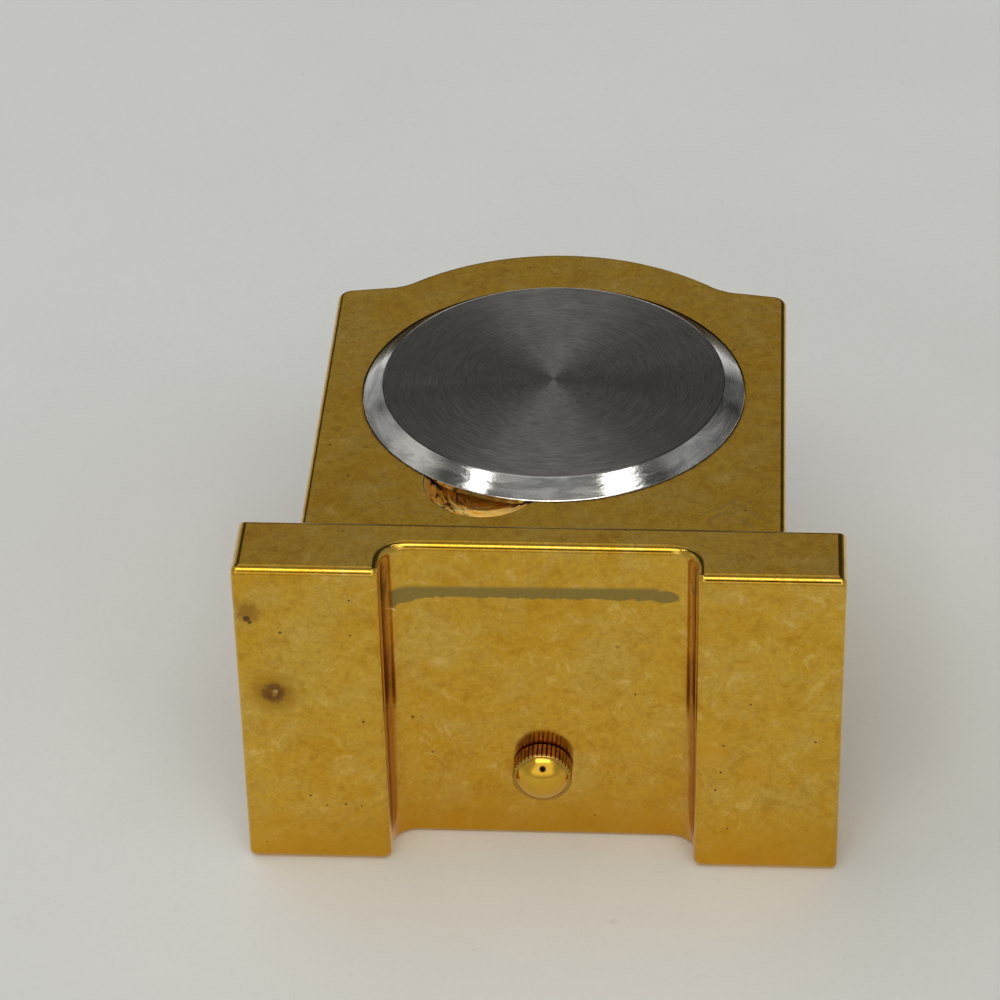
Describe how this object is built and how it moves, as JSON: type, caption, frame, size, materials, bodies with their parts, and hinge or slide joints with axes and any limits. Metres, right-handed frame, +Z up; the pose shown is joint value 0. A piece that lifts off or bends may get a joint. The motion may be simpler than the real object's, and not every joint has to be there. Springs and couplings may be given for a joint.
{
  "type": "desk clock",
  "caption": "Miniature arch-topped desk clock in gold plate on a two-footed base, with a date window, a press-fit steel back and a setting crown under the base.",
  "frame": {"origin": "centre of the base on the surface that the clock stands on, between its two feet", "axes": "+Z up, the dial faces -Y, +X to the right as the dial is read"},
  "size_m": [0.0474, 0.0293, 0.0478],
  "materials": {
    "gold_plate": "polished gold plate over a cast metal block",
    "steel": "brushed and polished stainless steel",
    "nickel": "nickel plate",
    "plate_brass": "nickel-flashed brass",
    "wheel_brass": "turned brass",
    "white_plastic": "moulded",
    "dial_enamel": "off-white lacquered disc",
    "crystal": "clear mineral glass",
    "gasket": "nylon",
    "copper": "enamelled copper winding",
    "board": "printed board",
    "epoxy": "epoxy blob"
  },
  "bodies": {
    "clock": {"base": "gold_plate", "case_block": "gold_plate", "locating_pins": "steel", "bezel": "gold_plate", "crystal_gasket": "gasket", "crystal": "crystal", "dial": "dial_enamel", "date_window_frame": "gold_plate", "hour_markers": "gold_plate", "main_plate": "plate_brass", "date_jumper": "steel", "jumper_screw": "steel", "centre_bridge": "plate_brass", "centre_bridge_screws": "steel", "stator": "nickel", "coil": "copper", "coil_core": "nickel", "circuit_board": "board", "chip": "epoxy", "quartz_can": "nickel", "battery": "nickel", "battery_clamp": "steel", "train_bridge": "plate_brass", "bridge_screws": "steel", "movement_holder": "white_plastic", "stem_tube": "steel", "case_back_gasket": "gasket"},
    "minute_works": {"cannon_pinion": "wheel_brass", "minute_hand": "gold_plate"},
    "hour_works": {"hour_wheel": "wheel_brass", "hour_hand": "gold_plate"},
    "minute_wheel": {"minute_wheel": "wheel_brass"},
    "date_wheel": {"date_wheel": "white_plastic"},
    "date_ring": {"date_ring": "white_plastic"},
    "seconds_works": {"seconds_wheel": "wheel_brass", "second_hand": "gold_plate"},
    "third_wheel": {"third_wheel": "wheel_brass"},
    "centre_wheel": {"centre_wheel": "wheel_brass"},
    "intermediate_wheel": {"intermediate_wheel": "wheel_brass"},
    "rotor": {"rotor": "wheel_brass"},
    "setting_pinion": {"setting_pinion": "steel"},
    "stem_and_crown": {"stem": "steel", "crown": "gold_plate"},
    "setting_lever": {"setting_lever": "steel"},
    "back": {"case_back": "steel"}
  },
  "joints": [
    {"name": "minute_hand_turn", "type": "hinge", "parent": "clock", "child": "minute_works", "pos_m": [0, -0.0073, 0.0265], "axis": [0, 1, 0], "continuous": true},
    {"name": "hour_hand_turn", "type": "hinge", "parent": "clock", "child": "hour_works", "pos_m": [0, -0.0073, 0.0265], "axis": [0, 1, 0], "continuous": true},
    {"name": "minute_wheel_turn", "type": "hinge", "parent": "clock", "child": "minute_wheel", "pos_m": [-0.00103, -0.0073, 0.02368], "axis": [0, 1, 0], "continuous": true},
    {"name": "date_wheel_turn", "type": "hinge", "parent": "clock", "child": "date_wheel", "pos_m": [0.00462, -0.0073, 0.02818], "axis": [0, 1, 0], "continuous": true},
    {"name": "date_ring_turn", "type": "hinge", "parent": "clock", "child": "date_ring", "pos_m": [0, -0.0073, 0.0265], "axis": [0, 1, 0], "continuous": true},
    {"name": "second_hand_turn", "type": "hinge", "parent": "clock", "child": "seconds_works", "pos_m": [0, -0.0073, 0.0265], "axis": [0, 1, 0], "continuous": true},
    {"name": "third_wheel_turn", "type": "hinge", "parent": "clock", "child": "third_wheel", "pos_m": [0.00167, -0.0073, 0.0219], "axis": [0, 1, 0], "continuous": true},
    {"name": "centre_wheel_turn", "type": "hinge", "parent": "clock", "child": "centre_wheel", "pos_m": [0, -0.0073, 0.0265], "axis": [0, 1, 0], "continuous": true},
    {"name": "intermediate_wheel_turn", "type": "hinge", "parent": "clock", "child": "intermediate_wheel", "pos_m": [-0.00312, -0.0073, 0.0283], "axis": [0, 1, 0], "continuous": true},
    {"name": "rotor_turn", "type": "hinge", "parent": "clock", "child": "rotor", "pos_m": [-0.00627, -0.0073, 0.03012], "axis": [0, 1, 0], "continuous": true},
    {"name": "crown_turn", "type": "hinge", "parent": "clock", "child": "setting_pinion", "pos_m": [0, -0.0073, 0.0197], "axis": [0, 0, 1], "continuous": true},
    {"name": "crown_pull", "type": "slide", "parent": "setting_pinion", "child": "stem_and_crown", "axis": [0, 0, -1], "range_m": [0, 0.0008]},
    {"name": "setting_lever_turn", "type": "hinge", "parent": "clock", "child": "setting_lever", "pos_m": [0.003, -0.0066, 0.01653], "axis": [0, -1, 0], "range_deg": [0, 18.6]},
    {"name": "case_back_off", "type": "slide", "parent": "clock", "child": "back", "axis": [0, 1, 0], "range_m": [0, 0.012]}
  ],
  "couplings": [
    {"joint": "hour_hand_turn", "follows": "minute_hand_turn", "ratio": 0.083333},
    {"joint": "minute_wheel_turn", "follows": "minute_hand_turn", "ratio": -0.33333},
    {"joint": "date_wheel_turn", "follows": "minute_hand_turn", "ratio": -0.041667},
    {"joint": "date_ring_turn", "follows": "minute_hand_turn", "ratio": -0.0013441},
    {"joint": "third_wheel_turn", "follows": "second_hand_turn", "ratio": -0.13333},
    {"joint": "centre_wheel_turn", "follows": "second_hand_turn", "ratio": 0.016667},
    {"joint": "intermediate_wheel_turn", "follows": "second_hand_turn", "ratio": -5},
    {"joint": "rotor_turn", "follows": "second_hand_turn", "ratio": 30},
    {"joint": "setting_lever_turn", "follows": "crown_pull", "rad_per_m": 403.23}
  ]
}
